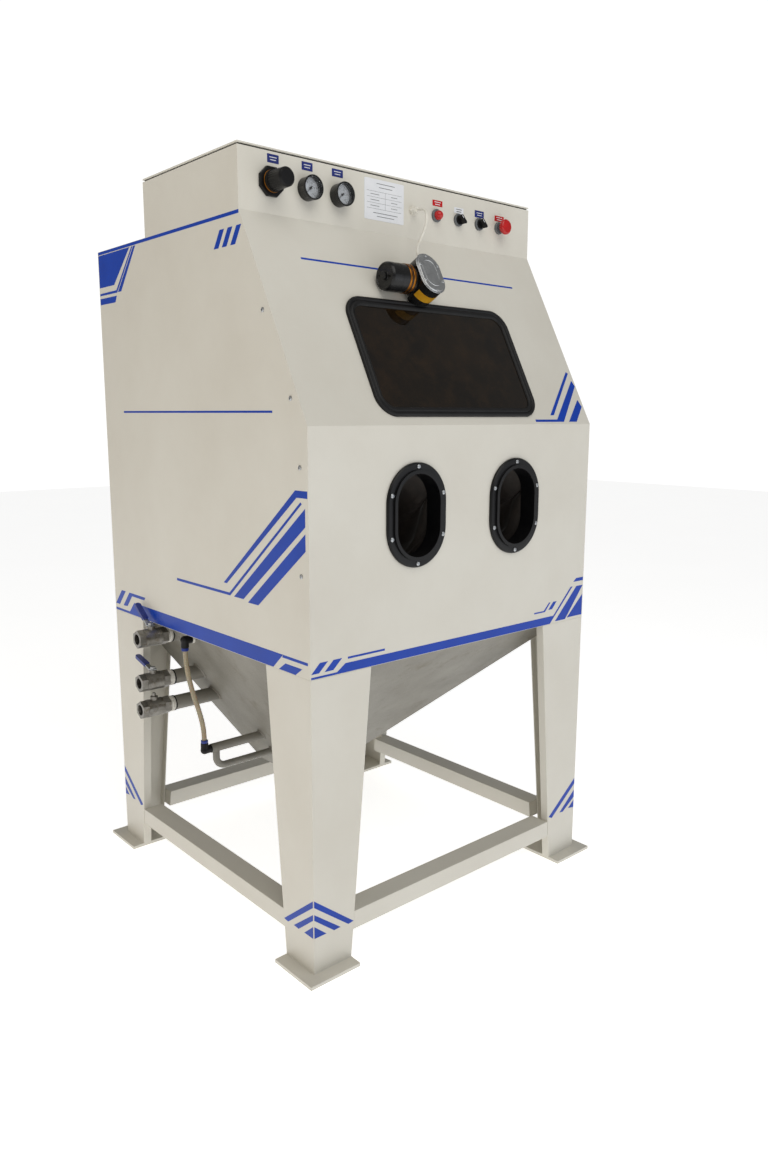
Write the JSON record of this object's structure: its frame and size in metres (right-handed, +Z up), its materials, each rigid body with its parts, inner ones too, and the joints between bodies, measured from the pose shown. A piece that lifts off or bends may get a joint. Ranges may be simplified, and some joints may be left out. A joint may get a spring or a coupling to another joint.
{
  "type": "sandblast cabinet",
  "caption": "Floor-standing wet blasting cabinet with sloped window, glove ports, side door, hopper on tapered legs, roof control box and valve pipework.",
  "frame": {"origin": "on the floor under the middle of the cabinet, at the level of the foot plates", "axes": "+Z up, the window and glove ports face -Y, +X to the right of someone standing at the gloves"},
  "size_m": [1.122, 1.07, 1.93],
  "materials": {
    "cream_paint": "semi-gloss powder coat",
    "black_rubber": "moulded, matt",
    "tinted_glass": "polished, brown tint",
    "black_plastic": "moulded, fine texture",
    "grey_plastic": "moulded",
    "zinc_steel": "bright zinc plate",
    "stainless": "satin",
    "black_fabric": "coated cloth, creased",
    "black_enamel": "gloss enamel",
    "cast_alloy": "bright, slightly brushed",
    "plate_white": "smooth",
    "plate_blue": "smooth",
    "white_plastic": "moulded",
    "red_plastic": "gloss",
    "clear_lens": "clear",
    "white_cable": "smooth sheath",
    "nickel_brass": "nickel plated, satin",
    "blue_vinyl": "dipped vinyl grip",
    "clear_hose": "translucent hose",
    "black_hose": "smooth cover"
  },
  "bodies": {
    "cabinet": {"left_side_panel": "cream_paint", "right_side_panel": "cream_paint", "front_panel": "cream_paint", "back_panel": "cream_paint", "roof_panel": "cream_paint", "hopper": "cream_paint", "front_left_leg": "cream_paint", "front_right_leg": "cream_paint", "back_left_leg": "cream_paint", "back_right_leg": "cream_paint", "bottom_rails": "cream_paint", "control_box": "cream_paint", "control_box_lid": "cream_paint", "sump_pipes": "cream_paint", "slurry_pump": "cream_paint", "valve_pipes": "cream_paint", "work_grate": "stainless", "door_hinges": "stainless", "window_gasket": "black_rubber", "window_glass": "tinted_glass", "left_port_flange": "black_plastic", "right_port_flange": "black_plastic", "regulator_nut": "black_plastic", "level_tube_elbows": "black_plastic", "port_screws": "zinc_steel", "side_screws": "zinc_steel", "left_sleeve": "black_fabric", "right_sleeve": "black_fabric", "regulator_body": "cast_alloy", "gearbox_cover": "cast_alloy", "blast_gun": "cast_alloy", "gauge_cases": "black_enamel", "wiper_motor": "black_enamel", "wiper_gearbox": "black_enamel", "gauge_lenses": "clear_lens", "data_plate": "plate_white", "legend_plates": "plate_blue", "cable_gland": "white_plastic", "interior_lamp": "white_plastic", "wiper_cable": "white_cable", "pilot_lens": "red_plastic", "switch_bezels": "grey_plastic", "valve_bodies": "nickel_brass", "level_tube_hose": "clear_hose", "gun_hose": "black_hose"},
    "door": {"door_panel": "cream_paint", "door_gasket": "black_rubber"},
    "latch": {"door_latch": "black_plastic"},
    "regulator_dial": {"regulator_knob": "black_plastic"},
    "left_needle": {"left_gauge_needle": "black_enamel"},
    "right_needle": {"right_gauge_needle": "black_enamel"},
    "left_selector": {"left_selector_knob": "black_plastic"},
    "right_selector": {"right_selector_knob": "black_plastic"},
    "estop_plunger": {"estop_stem": "grey_plastic"},
    "estop_button": {"estop_head": "red_plastic"},
    "top_valve": {"top_valve_lever": "blue_vinyl"},
    "middle_valve": {"middle_valve_lever": "blue_vinyl"},
    "bottom_valve": {"bottom_valve_stem": "nickel_brass"},
    "wiper": {"wiper_arm": "black_enamel", "wiper_blade": "black_rubber"}
  },
  "joints": [
    {"name": "door_hinge", "type": "hinge", "parent": "cabinet", "child": "door", "pos_m": [0.512, 0.374, 1.15], "axis": [0, 0, 1], "range_deg": [0, 110]},
    {"name": "latch_turn", "type": "hinge", "parent": "door", "child": "latch", "pos_m": [0.53, -0.245, 1.15], "axis": [1, 0, 0], "range_deg": [0, 90]},
    {"name": "regulator_turn", "type": "hinge", "parent": "cabinet", "child": "regulator_dial", "pos_m": [-0.412, -0.29, 1.855], "axis": [0, 1, 0], "range_deg": [-720, 720]},
    {"name": "left_needle_turn", "type": "hinge", "parent": "cabinet", "child": "left_needle", "pos_m": [-0.309, -0.265, 1.855], "axis": [0, 1, 0], "range_deg": [0, 270]},
    {"name": "right_needle_turn", "type": "hinge", "parent": "cabinet", "child": "right_needle", "pos_m": [-0.213, -0.265, 1.855], "axis": [0, 1, 0], "range_deg": [0, 270]},
    {"name": "left_selector_turn", "type": "hinge", "parent": "cabinet", "child": "left_selector", "pos_m": [0.204, -0.262, 1.855], "axis": [0, 1, 0], "range_deg": [0, 90]},
    {"name": "right_selector_turn", "type": "hinge", "parent": "cabinet", "child": "right_selector", "pos_m": [0.287, -0.262, 1.855], "axis": [0, 1, 0], "range_deg": [0, 90]},
    {"name": "estop_push", "type": "slide", "parent": "cabinet", "child": "estop_plunger", "axis": [0, 1, 0], "range_m": [0, 0.006]},
    {"name": "estop_twist", "type": "hinge", "parent": "estop_plunger", "child": "estop_button", "pos_m": [0.369, -0.275, 1.855], "axis": [0, 1, 0], "range_deg": [0, 30]},
    {"name": "top_valve_turn", "type": "hinge", "parent": "cabinet", "child": "top_valve", "pos_m": [-0.517, 0.238, 0.703], "axis": [0, 0, 1], "range_deg": [0, 90]},
    {"name": "middle_valve_turn", "type": "hinge", "parent": "cabinet", "child": "middle_valve", "pos_m": [-0.517, 0.238, 0.574], "axis": [0, 0, 1], "range_deg": [0, 90]},
    {"name": "bottom_valve_turn", "type": "hinge", "parent": "cabinet", "child": "bottom_valve", "pos_m": [-0.517, 0.238, 0.495], "axis": [0, 0, 1], "range_deg": [0, 90]},
    {"name": "wiper_sweep", "type": "hinge", "parent": "cabinet", "child": "wiper", "pos_m": [-0.034, -0.32493, 1.64114], "axis": [0, -0.8869, 0.4619], "range_deg": [-24, 64]}
  ]
}
